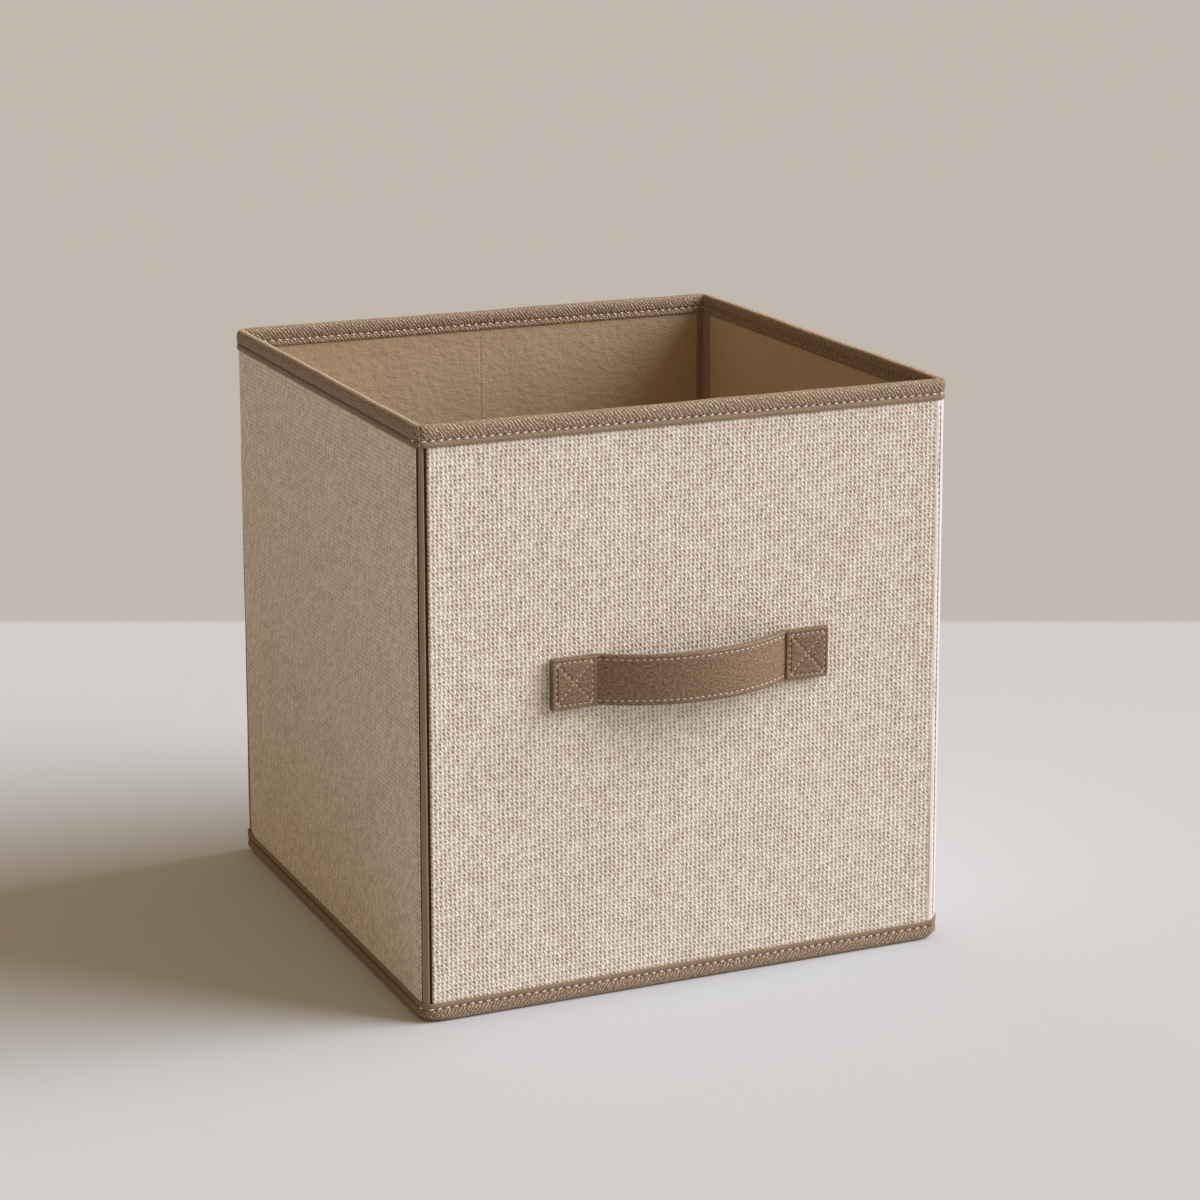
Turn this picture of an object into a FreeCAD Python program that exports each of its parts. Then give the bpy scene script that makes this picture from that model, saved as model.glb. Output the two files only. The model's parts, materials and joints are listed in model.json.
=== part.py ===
import FreeCAD, Part
import os

import Sketcher

# Foldable fabric storage cube, millimetres.
# Frame: X to the right, Y to the back, Z up, origin at the middle of the underside of the base.
# The front wall, the base and the handle tabs stand still. Each side wall is two halves with a
# crease between them, and the halves fold inwards while the back wall comes to the front wall.

DIMENSIONS = {
    "outer_width": 267.0,
    "outer_depth": 260.0,
    "outer_height": 280.0,
    "cover_thick": 1.0,
    "board_thick": 2.2,
    "lining_thick": 0.8,
    "edge_fold": 4.0,
    "corner_round": 3.0,
    "strip_width": 4.0,
    "binding_thick": 0.6,
    "rim_height": 10.0,
    "rim_top_thick": 2.0,
    "rim_round": 2.3,
    "hem_height": 10.0,
    "hem_clearance": 0.3,
    "hinge_offset": 1.0,
    "crease_half_gap": 0.3,
    "tape_thick": 0.5,
    "side_tape_width": 7.5,
    "end_tape_width": 4.0,
    "base_fabric_thick": 1.2,
    "insert_clearance": 1.0,
    "insert_seat_gap": 0.3,
    "insert_board_thick": 2.0,
    "insert_cover_thick": 0.5,
    "insert_under_thick": 0.4,
    "insert_round": 6.0,
    "pull_tab_thick": 0.9,
    "pull_tab_width": 22.0,
    "pull_tab_length": 34.0,
    "pull_tab_inset": 6.0,
    "handle_centre_height": 155.0,
    "strap_width": 24.0,
    "strap_layer_thick": 1.3,
    "strap_stand_off": 17.5,
    "strap_radius": 84.0,
    "strap_half_reach": 48.5,
    "strap_half_loop": 39.2,
    "strap_pivot_gap": 0.3,
    "tab_length": 22.0,
    "tab_thick": 1.0,
    "tab_round": 1.5,
}

document = FreeCAD.newDocument("storage_cube")
sheet = document.addObject("Spreadsheet::Sheet", "Dims")
for row, (alias, value) in enumerate(DIMENSIONS.items(), start=1):
    sheet.set(f"A{row}", alias)
    sheet.set(f"B{row}", str(value))
    sheet.setAlias(f"B{row}", alias)
document.recompute()

# Lengths worked out from the driving dimensions, as expressions over the sheet
HALF_WIDTH = "Dims.outer_width / 2"
HALF_DEPTH = "Dims.outer_depth / 2"
WALL = "(Dims.cover_thick + Dims.board_thick + Dims.lining_thick)"
COVER_DEPTH = "(Dims.cover_thick + Dims.board_thick)"
CORNER_RADIUS = f"min(Dims.corner_round; {COVER_DEPTH} - 0.1; Dims.strip_width - 0.1)"
BINDING_RADIUS = f"({CORNER_RADIUS} + Dims.binding_thick)"
BINDING_DEPTH = f"({WALL} + 2 * Dims.binding_thick)"
HINGE_DEPTH = f"({WALL} + Dims.hinge_offset)"
HALF_WALL_LENGTH = f"({HALF_DEPTH} - {HINGE_DEPTH} - Dims.crease_half_gap)"
INSERT_BOTTOM = "(Dims.base_fabric_thick + Dims.insert_seat_gap)"
INSERT_BODY = f"({INSERT_BOTTOM} + Dims.insert_under_thick)"
INSERT_TOP = f"({INSERT_BODY} + Dims.insert_board_thick + Dims.insert_cover_thick)"
BASE_LIP = f"({INSERT_TOP} + Dims.pull_tab_thick + Dims.insert_seat_gap)"
HEM_BOTTOM = f"({BASE_LIP} + Dims.hem_clearance)"
PANEL_BOTTOM = f"({HEM_BOTTOM} + Dims.binding_thick)"
PANEL_TOP = "(Dims.outer_height - Dims.rim_top_thick)"
PANEL_HEIGHT = f"({PANEL_TOP} - {PANEL_BOTTOM})"
RIM_BOTTOM = "(Dims.outer_height - Dims.rim_height)"
SIDE_BAND_HEIGHT = f"({RIM_BOTTOM} - Dims.hem_height)"
INNER_WIDTH = f"(Dims.outer_width - 2 * {WALL})"
TRAY_WIDTH = f"({INNER_WIDTH} - 2 * Dims.binding_thick)"
TRAY_DEPTH = f"(Dims.outer_depth - 2 * {WALL} - 2 * Dims.binding_thick)"
INSERT_WIDTH = f"({TRAY_WIDTH} - 2 * Dims.insert_clearance)"
INSERT_DEPTH = f"({TRAY_DEPTH} - 2 * Dims.insert_clearance)"

subparts = []


def sized(expression):
    """The value of an expression over the sheet, in millimetres."""
    return float(sheet.evalExpression(expression))


def new_body(label, x="0", y="0", turn=0):
    """A body with its own label, placed by expressions and turned about Z by a quarter-turn count."""
    body = document.addObject("PartDesign::Body", label)
    body.Label = label
    body.Placement = FreeCAD.Placement(
        FreeCAD.Vector(), FreeCAD.Rotation(FreeCAD.Vector(0, 0, 1), 90 * turn)
    )
    body.setExpression("Placement.Base.x", x)
    body.setExpression("Placement.Base.y", y)
    subparts.append(body)
    return body


def origin_plane(body, role):
    return next(feature for feature in body.Origin.OriginFeatures if feature.Role == role)


def rectangle(body, name, corner, size):
    """A rectangle in the body's XY plane: its lowest corner in the body's frame, and its two sides."""
    sketch = body.newObject("Sketcher::SketchObject", f"{body.Label}_{name}")
    sketch.AttachmentSupport = [(origin_plane(body, "XY_Plane"), "")]
    sketch.MapMode = "FlatFace"
    for axis, expression in zip("xyz", corner):
        sketch.setExpression(f"AttachmentOffset.Base.{axis}", expression)
    width, depth = (sized(expression) for expression in size)
    points = [
        FreeCAD.Vector(0, 0, 0),
        FreeCAD.Vector(width, 0, 0),
        FreeCAD.Vector(width, depth, 0),
        FreeCAD.Vector(0, depth, 0),
    ]
    for start, end in zip(points, points[1:] + points[:1]):
        sketch.addGeometry(Part.LineSegment(start, end), False)
    for side in range(4):
        sketch.addConstraint(Sketcher.Constraint("Coincident", side, 2, (side + 1) % 4, 1))
    for side, kind in enumerate(("Horizontal", "Vertical", "Horizontal", "Vertical")):
        sketch.addConstraint(Sketcher.Constraint(kind, side))
    sketch.addConstraint(Sketcher.Constraint("Coincident", 0, 1, -1, 1))
    sketch.addConstraint(Sketcher.Constraint("DistanceX", 0, 1, 0, 2, width))
    sketch.renameConstraint(sketch.ConstraintCount - 1, "side_x")
    sketch.addConstraint(Sketcher.Constraint("DistanceY", 1, 1, 1, 2, depth))
    sketch.renameConstraint(sketch.ConstraintCount - 1, "side_y")
    sketch.setExpression("Constraints.side_x", size[0])
    sketch.setExpression("Constraints.side_y", size[1])
    return sketch


def pad(body, name, corner, size):
    """A block on the body's own axes, from its lowest corner and its three sides."""
    feature = body.newObject("PartDesign::Pad", f"{body.Label}_{name}")
    feature.Profile = rectangle(body, f"{name}_outline", corner, size[:2])
    feature.setExpression("Length", size[2])
    document.recompute()
    return feature


def pocket(body, name, corner, size):
    """A block cut upwards out of the body, from its lowest corner and its three sides."""
    before = body.Shape.Volume
    feature = body.newObject("PartDesign::Pocket", f"{body.Label}_{name}")
    feature.Profile = rectangle(body, f"{name}_outline", corner, size[:2])
    feature.Type = "Length"
    feature.Reversed = True
    feature.setExpression("Length", size[2])
    document.recompute()
    if body.Shape.Volume >= before - 1e-6:
        raise RuntimeError(f"{body.Label}: {name} cuts nothing")
    return feature


def fillet(body, name, radius, picks):
    """Rounds the edges of the last feature that a test on their middle and direction picks."""
    base = body.Tip
    names = []
    for number, edge in enumerate(base.Shape.Edges, start=1):
        middle = edge.valueAt((edge.FirstParameter + edge.LastParameter) / 2)
        along = edge.tangentAt(edge.FirstParameter)
        if picks(middle, along):
            names.append(f"Edge{number}")
    if not names:
        raise RuntimeError(f"{body.Label}: {name} finds no edge")
    feature = body.newObject("PartDesign::Fillet", f"{body.Label}_{name}")
    feature.Base = (base, names)
    feature.setExpression("Radius", radius)
    document.recompute()
    return feature


def near(first, second):
    return abs(first - second) < 1e-4


def round_plan_corners(body, radius, depth, ends):
    """Rounds the upright edges at the given ends and at the given local depth."""
    fillet(
        body,
        "plan_corners",
        radius,
        lambda middle, along: near(abs(along.z), 1)
        and near(middle.y, depth)
        and any(near(middle.x, end) for end in ends),
    )


class Wall:
    """One stiff panel, seen from outside: local X runs left to right, local Y runs inwards."""

    def __init__(self, name, length, x, y, turn, strip, whole):
        self.name = name
        self.length = length
        self.place = {"x": x, "y": y, "turn": turn}
        self.strip = strip
        self.whole = whole
        self.start = "Dims.strip_width" if strip else "0"

    def body(self, part):
        return new_body(f"{self.name}_{part}", **self.place)

    def cover(self):
        """Woven cover with its fold round the board's edges."""
        body = self.body("cover")
        run = f"({self.length} - {self.start})"
        pad(body, "skin", (self.start, "0", PANEL_BOTTOM), (run, COVER_DEPTH, PANEL_HEIGHT))
        pocket(
            body,
            "board_pocket",
            (f"{self.start} + Dims.edge_fold", "Dims.cover_thick", f"{PANEL_BOTTOM} + Dims.cover_thick"),
            (f"{run} - 2 * Dims.edge_fold", "Dims.board_thick", f"{PANEL_HEIGHT} - 2 * Dims.cover_thick"),
        )
        if self.whole:
            round_plan_corners(body, CORNER_RADIUS, 0, [sized(self.length)])

    def board(self):
        """Stiffener that fills the pocket in the cover."""
        body = self.body("board")
        run = f"({self.length} - {self.start})"
        pad(
            body,
            "sheet",
            (f"{self.start} + Dims.edge_fold", "Dims.cover_thick", f"{PANEL_BOTTOM} + Dims.cover_thick"),
            (f"{run} - 2 * Dims.edge_fold", "Dims.board_thick", f"{PANEL_HEIGHT} - 2 * Dims.cover_thick"),
        )

    def lining(self):
        """Inner lining over the board and the cover's folds."""
        body = self.body("lining")
        pad(
            body,
            "sheet",
            (self.start, COVER_DEPTH, PANEL_BOTTOM),
            (f"({self.length} - {self.start})", "Dims.lining_thick", PANEL_HEIGHT),
        )

    def channel(self, part, bottom, height, slot_bottom, slot_height):
        """A binding round the panel's edge, proud of both faces. On a whole wall it caps the ends."""
        body = self.body(part)
        reach = "Dims.binding_thick" if self.whole else "0"
        run = f"({self.length} + 2 * {reach})"
        pad(body, "band", (f"-{reach}", "-Dims.binding_thick", bottom), (run, BINDING_DEPTH, height))
        pocket(body, "slot", ("0", "0", slot_bottom), (self.length, WALL, slot_height))
        if self.whole:
            proud = sized("Dims.binding_thick")
            length = sized(self.length)
            round_plan_corners(body, CORNER_RADIUS, 0, [0, length])
            round_plan_corners(body, BINDING_RADIUS, -proud, [-proud, length + proud])
        return body

    def rim(self):
        """Binding folded over the panel's top edge, with a rounded top."""
        slot_height = "Dims.rim_height - Dims.rim_top_thick"
        body = self.channel("rim", RIM_BOTTOM, "Dims.rim_height", RIM_BOTTOM, slot_height)
        top = sized("Dims.outer_height")
        sides = (sized(f"{WALL} + Dims.binding_thick"), -sized("Dims.binding_thick"))
        fillet(
            body,
            "rounded_top",
            f"min(Dims.rim_round; {BINDING_DEPTH} / 2 - 0.2)",
            lambda middle, along: near(middle.z, top)
            and (self.whole or any(near(middle.y, side) for side in sides)),
        )

    def hem(self):
        """Binding folded under the panel's bottom edge."""
        height, slot_height = (f"Dims.hem_height - {low}" for low in (HEM_BOTTOM, PANEL_BOTTOM))
        self.channel("hem", HEM_BOTTOM, height, PANEL_BOTTOM, slot_height)

    def corner_strip(self):
        """Narrow upright strip along the panel's left margin."""
        body = self.body("corner_strip")
        pad(body, "column", ("0", "0", PANEL_BOTTOM), ("Dims.strip_width", WALL, PANEL_HEIGHT))
        if self.whole:
            round_plan_corners(body, CORNER_RADIUS, 0, [0])

    def tape(self, part, start, width):
        """Upright tape on the inner face beside an inner corner."""
        body = self.body(part)
        pad(body, "band", (start, WALL, "Dims.hem_height"), (width, "Dims.tape_thick", SIDE_BAND_HEIGHT))

    def build(self):
        self.cover()
        self.board()
        self.lining()
        self.rim()
        self.hem()
        if self.strip:
            self.corner_strip()


def front_and_back_walls():
    """Whole walls, each with a tape at both inner corners."""
    front = Wall("front", "Dims.outer_width", f"-{HALF_WIDTH}", f"-{HALF_DEPTH}", 0, True, True)
    back = Wall("back", "Dims.outer_width", HALF_WIDTH, HALF_DEPTH, 2, True, True)
    for wall in (front, back):
        wall.build()
        far = f"Dims.outer_width - {WALL} - Dims.end_tape_width"
        wall.tape("inner_tape_left", WALL, "Dims.end_tape_width")
        wall.tape("inner_tape_right", far, "Dims.end_tape_width")


def side_walls():
    """Two halves a side. The hinge end of each half has the inner tape."""
    reach = f"({HALF_DEPTH} - {HINGE_DEPTH})"
    gap = "Dims.crease_half_gap"
    far = f"{HALF_WALL_LENGTH} - Dims.side_tape_width"
    right_front = Wall("right_front", HALF_WALL_LENGTH, HALF_WIDTH, f"-{reach}", 1, True, False)
    right_back = Wall("right_back", HALF_WALL_LENGTH, HALF_WIDTH, gap, 1, False, False)
    left_back = Wall("left_back", HALF_WALL_LENGTH, f"-{HALF_WIDTH}", reach, 3, True, False)
    left_front = Wall("left_front", HALF_WALL_LENGTH, f"-{HALF_WIDTH}", f"-{gap}", 3, False, False)
    for wall in (right_front, right_back, left_back, left_front):
        wall.build()
        wall.tape("inner_tape", "0" if wall.strip else far, "Dims.side_tape_width")


def base():
    """Base fabric and the binding round it, a shallow tray that the insert lies in."""
    body = new_body("base_fabric", f"-{TRAY_WIDTH} / 2", f"-{TRAY_DEPTH} / 2")
    pad(body, "sheet", ("0", "0", "0"), (TRAY_WIDTH, TRAY_DEPTH, "Dims.base_fabric_thick"))
    proud = sized("Dims.binding_thick")
    ends = [-proud, sized("Dims.outer_width") + proud]
    long_run = "(Dims.outer_width + 2 * Dims.binding_thick)"
    for side, sign, turn in (("front", "-", 0), ("back", "", 2)):
        body = new_body(f"base_binding_{side}", f"{sign}{HALF_WIDTH}", f"{sign}{HALF_DEPTH}", turn=turn)
        corner = ("-Dims.binding_thick", "-Dims.binding_thick", "0")
        pad(body, "band", corner, (long_run, BINDING_DEPTH, BASE_LIP))
        round_plan_corners(body, BINDING_RADIUS, -proud, ends)
    for side, sign, turn in (("right", "", 1), ("left", "-", 3)):
        start = f"-{TRAY_DEPTH} / 2" if turn == 1 else f"{TRAY_DEPTH} / 2"
        body = new_body(f"base_binding_{side}", f"{sign}{HALF_WIDTH}", start, turn=turn)
        pad(body, "band", ("0", "-Dims.binding_thick", "0"), (TRAY_DEPTH, BINDING_DEPTH, BASE_LIP))


def insert():
    """Loose stiff floor: a board in a fabric cover, with a tab to lift it by."""
    x, y = f"-{INSERT_WIDTH} / 2", f"-{INSERT_DEPTH} / 2"
    width, depth = sized(INSERT_WIDTH), sized(INSERT_DEPTH)
    skin = "Dims.insert_cover_thick"
    inside = (f"{INSERT_WIDTH} - 2 * {skin}", f"{INSERT_DEPTH} - 2 * {skin}", "Dims.insert_board_thick")

    def rounded(body, name, radius, low, high):
        fillet(
            body,
            name,
            radius,
            lambda middle, along: near(abs(along.z), 1)
            and (near(middle.x, low) or near(middle.x, width - low))
            and (near(middle.y, low) or near(middle.y, high)),
        )

    margin = sized(skin)
    under = new_body("insert_underside", x, y)
    pad(under, "sheet", ("0", "0", INSERT_BOTTOM), (INSERT_WIDTH, INSERT_DEPTH, "Dims.insert_under_thick"))
    rounded(under, "corners", "Dims.insert_round", 0, depth)
    cover = new_body("insert_cover", x, y)
    tall = f"Dims.insert_board_thick + {skin}"
    pad(cover, "skin", ("0", "0", INSERT_BODY), (INSERT_WIDTH, INSERT_DEPTH, tall))
    pocket(cover, "board_pocket", (skin, skin, INSERT_BODY), inside)
    rounded(cover, "pocket_corners", f"Dims.insert_round - {skin}", margin, depth - margin)
    rounded(cover, "corners", "Dims.insert_round", 0, depth)
    board = new_body("insert_board", x, y)
    pad(board, "sheet", (skin, skin, INSERT_BODY), inside)
    rounded(board, "corners", f"Dims.insert_round - {skin}", margin, depth - margin)
    tab = new_body("insert_pull_tab", "-Dims.pull_tab_width / 2", f"{y} + Dims.pull_tab_inset")
    size = ("Dims.pull_tab_width", "Dims.pull_tab_length", "Dims.pull_tab_thick")
    pad(tab, "ribbon", ("0", "0", INSERT_TOP), size)


def bound(kind, name, **expressions):
    """A primitive whose properties are bound to expressions; double underscores stand for dots."""
    thing = document.addObject(kind, name)
    for path, expression in expressions.items():
        thing.setExpression(path.replace("__", "."), expression)
    return thing


def strap_ring(name, outer, inner):
    """Upright ring between two radii about the strap's centre of curvature."""
    centre = f"-{HALF_DEPTH} - Dims.strap_stand_off + Dims.strap_radius"
    low = "Dims.handle_centre_height - Dims.strap_width / 2"
    rounds = []
    for part, radius in (("outer", outer), ("inner", inner)):
        rounds.append(
            bound(
                "Part::Cylinder",
                f"{name}_{part}",
                Radius=radius,
                Height="Dims.strap_width",
                Placement__Base__y=centre,
                Placement__Base__z=low,
            )
        )
    ring = document.addObject("Part::Cut", f"{name}_ring")
    ring.Base, ring.Tool = rounds
    return ring


def strap_box(name, x, width, y, depth):
    """Upright box as tall as the strap."""
    return bound(
        "Part::Box",
        name,
        Length=width,
        Width=depth,
        Height="Dims.strap_width",
        Placement__Base__x=x,
        Placement__Base__y=y,
        Placement__Base__z="Dims.handle_centre_height - Dims.strap_width / 2",
    )


def handle():
    """Strap in two layers. Its ends are sewn down under two square tabs, and the loop bows out."""
    face = f"-{HALF_DEPTH}"
    outer = "Dims.strap_radius"
    middle = f"({outer} - Dims.strap_layer_thick)"
    inner = f"({middle} - Dims.strap_layer_thick)"
    for label, high, low in (("strap_face", outer, middle), ("strap_backing", middle, inner)):
        ring = strap_ring(label, high, low)
        window = strap_box(
            f"{label}_window", "-Dims.strap_half_loop", "2 * Dims.strap_half_loop", f"{face} - {outer}", outer
        )
        loop = document.addObject("Part::Common", label)
        loop.Base, loop.Tool = ring, window
        loop.Label = label
        subparts.append(loop)
    end_run = "(Dims.strap_half_reach - Dims.strap_half_loop - Dims.strap_pivot_gap)"
    strap_thick = "(2 * Dims.strap_layer_thick)"
    for side, sign in (("left", -1), ("right", 1)):
        name = f"strap_end_{side}"
        ring = strap_ring(name, outer, inner)
        low = "-Dims.strap_half_reach" if sign < 0 else "Dims.strap_half_loop + Dims.strap_pivot_gap"
        window = strap_box(f"{name}_window", low, end_run, f"{face} - {outer}", outer)
        bend = document.addObject("Part::Common", f"{name}_bend")
        bend.Base, bend.Tool = ring, window
        flat_low = "-Dims.strap_half_reach - Dims.tab_length" if sign < 0 else "Dims.strap_half_reach"
        flat = strap_box(f"{name}_flat", flat_low, "Dims.tab_length", f"{face} - {strap_thick}", strap_thick)
        end = document.addObject("Part::Fuse", name)
        end.Base, end.Tool = bend, flat
        end.Label = name
        subparts.append(end)
        tab = new_body(f"handle_tab_{side}", flat_low, f"{face} - {strap_thick} - Dims.tab_thick")
        bottom = "Dims.handle_centre_height - Dims.strap_width / 2"
        pad(tab, "patch", ("0", "0", bottom), ("Dims.tab_length", "Dims.tab_thick", "Dims.strap_width"))
        corners = [0, sized("Dims.tab_length")]
        fillet(
            tab,
            "corners",
            "Dims.tab_round",
            lambda centre, along: near(abs(along.y), 1) and any(near(centre.x, end) for end in corners),
        )


def check_and_write():
    """Every object and shape is checked before any file is written."""
    document.recompute()
    for thing in document.Objects:
        if "Invalid" in thing.State or "Error" in thing.State:
            raise RuntimeError(f"{thing.Label} failed: {thing.State}")
    for part in subparts:
        shape = part.Shape
        if shape.isNull() or not shape.isValid() or shape.Volume <= 0:
            raise RuntimeError(f"{part.Label} has no valid solid")
    os.makedirs("parts", exist_ok=True)
    for part in subparts:
        part.Shape.exportStep(f"parts/{part.Label}.step")
    print(len(subparts), "sub-parts written")


front_and_back_walls()
side_walls()
base()
insert()
handle()
check_and_write()
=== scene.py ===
import json
import math

import bmesh
import bpy
import numpy as np
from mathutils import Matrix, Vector


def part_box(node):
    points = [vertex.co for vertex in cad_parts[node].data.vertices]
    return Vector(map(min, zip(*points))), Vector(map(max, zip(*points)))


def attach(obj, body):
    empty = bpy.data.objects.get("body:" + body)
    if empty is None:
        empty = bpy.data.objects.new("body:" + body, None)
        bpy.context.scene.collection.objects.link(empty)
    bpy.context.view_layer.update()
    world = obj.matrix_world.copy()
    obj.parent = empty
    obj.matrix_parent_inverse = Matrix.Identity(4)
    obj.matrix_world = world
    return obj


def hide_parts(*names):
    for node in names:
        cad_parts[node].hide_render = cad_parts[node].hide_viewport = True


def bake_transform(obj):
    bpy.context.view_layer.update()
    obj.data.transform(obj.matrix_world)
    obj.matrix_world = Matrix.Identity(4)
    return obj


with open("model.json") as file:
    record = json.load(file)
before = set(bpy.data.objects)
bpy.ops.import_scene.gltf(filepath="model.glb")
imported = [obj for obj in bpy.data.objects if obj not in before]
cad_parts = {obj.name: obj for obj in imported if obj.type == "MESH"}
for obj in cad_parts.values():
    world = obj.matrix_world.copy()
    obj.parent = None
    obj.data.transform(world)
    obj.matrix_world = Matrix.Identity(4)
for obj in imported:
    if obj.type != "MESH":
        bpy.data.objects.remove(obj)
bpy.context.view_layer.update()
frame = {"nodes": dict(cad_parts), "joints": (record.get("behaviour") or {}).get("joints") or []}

# Everything below is in millimetres and turned into metres when a mesh is made.
MM = 0.001


def box_of(node):
    low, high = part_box(node)
    return low / MM, high / MM


# Sizes taken from the frame
cover_low, cover_high = box_of("front_cover")
lining_low, lining_high = box_of("front_lining")
HALF_X, HALF_Y = cover_high.x, -cover_low.y
WALL_FOOT, WALL_TOP = cover_low.z, cover_high.z
WALL, BOARD_DEPTH = HALF_Y + lining_high.y, HALF_Y + lining_low.y
STRIP_INNER = -box_of("front_corner_strip")[1].x
RIM_LOW, RIM_TOP = (corner.z for corner in box_of("front_rim"))
HEM_FOOT, HEM_TOP = (corner.z for corner in box_of("front_hem"))
HEM_EDGE = HEM_TOP - 0.4
BASE_SPLIT = (HEM_FOOT + box_of("base_binding_front")[1].z) / 2
JOINTS = {joint["name"]: joint for joint in frame["joints"]}
PIVOT = Vector(JOINTS["right_front_corner"]["pos_m"]) / MM

# The outline, whose corners turn about the hinge axes. Places on it count from the middle of the front, to
# the right seen from outside, and the middle of each further side is one QUARTER on.
CORNER = HALF_X - PIVOT.x
FRONT_STRAIGHT, SIDE_STRAIGHT = HALF_X - CORNER, HALF_Y - CORNER
TURN = CORNER * math.pi / 2
QUARTER = FRONT_STRAIGHT + SIDE_STRAIGHT + TURN
BACK, LEFT, LAP = 2 * QUARTER, 3 * QUARTER, 4 * QUARTER

# How far a piece reaches on each side of the line where two bodies meet
HINGE_REACH, HINGE_BEND = 4.0, 3.7
CREASE_REACH, COVER_REACH, LINING_REACH = 2.0, 0.8, 3.0
SPLIT_TURN = math.radians(60)

# Stitches, and the heights of their rows
STITCH_PITCH, STITCH_LENGTH, THREAD = 4.0, 2.6, 0.42
RIM_STITCH, HEM_STITCH = RIM_LOW + 3.0, 6.75

# How far two corners stand out
FOOT_SWELL, TOP_SWELL = 1.1, -0.35
FOOT_SPREAD, SPREAD_RUN = 2.4, 28


def ease(x):
    x = np.clip(x, 0.0, 1.0)
    return x * x * (3 - 2 * x)


def hill(x, width):
    return np.exp(-(x / width) ** 2)


def rounded(distance, edge):
    """How far up a rounded edge stands, from 0 at the edge to 1 behind it."""
    return np.sqrt(np.clip(1 - (1 - np.clip(distance / edge, 0, 1)) ** 2, 0, 1))


def swell(u, height):
    """How far the back left corner stands out."""
    turn = np.mod(u, LAP) - BACK - FRONT_STRAIGHT
    amount = FOOT_SWELL + (TOP_SWELL - FOOT_SWELL) * height / RIM_TOP
    return amount * ease((turn - 1) / 3.5) * ease((8.5 - turn) / 3)


def spread_foot(u, height):
    """How far the front right corner moves to the right."""
    turn = np.mod(u + FRONT_STRAIGHT, LAP) - 2 * FRONT_STRAIGHT
    amount = FOOT_SPREAD * (1 - height / RIM_TOP)
    return amount * ease((turn + SPREAD_RUN) / SPREAD_RUN) * ease((8.6 - turn) / 3.4)


def outline(u, out, height):
    """Points at a place u round the outline, out from its line, at a height."""
    u, out, height = np.broadcast_arrays(np.asarray(u, float), out, height)
    wall = np.rint(u / QUARTER)
    along_x = wall % 2 == 0
    straight = np.where(along_x, HALF_X, HALF_Y) - CORNER
    depth = np.where(along_x, HALF_Y, HALF_X)
    place = u - wall * QUARTER
    out = out + swell(u, height)
    turned = np.clip((np.abs(place) - straight) / CORNER, 0, math.pi / 2)
    along = np.sign(place) * (np.minimum(np.abs(place), straight) + (CORNER + out) * np.sin(turned))
    across = CORNER - (CORNER + out) * np.cos(turned) - depth
    c, s = np.cos(wall * math.pi / 2), np.sin(wall * math.pi / 2)
    x = c * along - s * across + spread_foot(u, height)
    return np.stack([x, s * along + c * across, height], axis=-1)


def samples(start, end, step, *dense):
    """Places from start to end, closer together round the given places."""
    count = max(2, int(round((end - start) / step)) + 1)
    places = [np.linspace(start, end, count)]
    for middle, reach, fine in dense:
        places.append(np.arange(middle - reach, middle + reach + fine / 2, fine))
    joined = np.unique(np.round(np.concatenate(places), 4))
    joined = joined[(joined >= start) & (joined <= end)]
    keep = np.concatenate([[True], np.diff(joined) > step * 0.04])
    joined = joined[keep]
    joined[0], joined[-1] = start, end
    return joined


def mesh_object(name, points, faces, uvs, angle=50):
    mesh = bpy.data.meshes.new(name)
    mesh.from_pydata((np.asarray(points).reshape(-1, 3) * MM).tolist(), [], faces)
    layer = mesh.uv_layers.new(name="UVMap")
    layer.data.foreach_set("uv", (np.asarray(uvs).reshape(-1, 2) * MM).astype(np.float32).ravel())
    mesh.validate()
    mesh.shade_smooth()
    mesh.set_sharp_from_angle(angle=math.radians(angle))
    made = bpy.data.objects.new(name, mesh)
    bpy.context.scene.collection.objects.link(made)
    return made


def band(name, points, along, around, closed=False, flip=False, angle=50):
    """A closed section swept along a path. points is [path, section, 3].

    The section's second half runs back under its first.
    """
    rows, count = points.shape[:2]
    faces, uvs = [], []
    last = rows if closed else rows - 1
    around = np.append(around, around[-1] + (around[1] - around[0]))
    for i in range(last):
        j = (i + 1) % rows
        next_along = along[i] + (along[1] - along[0]) if j == 0 else along[j]
        for k in range(count):
            m = (k + 1) % count
            faces.append((i * count + k, i * count + m, j * count + m, j * count + k))
            uvs += [(along[i], around[k]), (along[i], around[k + 1])]
            uvs += [(next_along, around[k + 1]), (next_along, around[k])]
    if not closed:
        for i, order in ((0, -1), (rows - 1, 1)):
            for k in range(count // 2 - 1):
                corners = (k, k + 1, count - 2 - k, count - 1 - k)[::order]
                faces.append(tuple(i * count + c for c in corners))
                uvs += [(along[i], around[c]) for c in corners]
    if flip:
        uvs = [(v, u) for u, v in uvs]
    made = mesh_object(name, points, faces, uvs, angle)
    outwards(made)
    return made


def outwards(made):
    work = bmesh.new()
    work.from_mesh(made.data)
    bmesh.ops.recalc_face_normals(work, faces=work.faces)
    work.to_mesh(made.data)
    work.free()


def section(outer, inner):
    """A closed section from its outer and inner sides, both running the same way."""
    outer, inner = np.asarray(outer, float), np.asarray(inner, float)
    reach = np.linspace(0, len(inner) - 1, len(outer))
    inner = np.stack([np.interp(reach, np.arange(len(inner)), inner[:, i]) for i in (0, 1)], axis=-1)
    return np.concatenate([outer, inner[::-1]])


def lengths(path):
    path = np.asarray(path, float)
    return np.concatenate([[0], np.cumsum(np.linalg.norm(np.diff(path, axis=0), axis=-1))])


def finished(made, body, material, stands_for=()):
    if isinstance(body, str):
        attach(made, body)
    else:
        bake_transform(made)
    made.data.materials.clear()
    made.data.materials.append(material)
    if stands_for:
        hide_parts(*stands_for)
    return made


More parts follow.
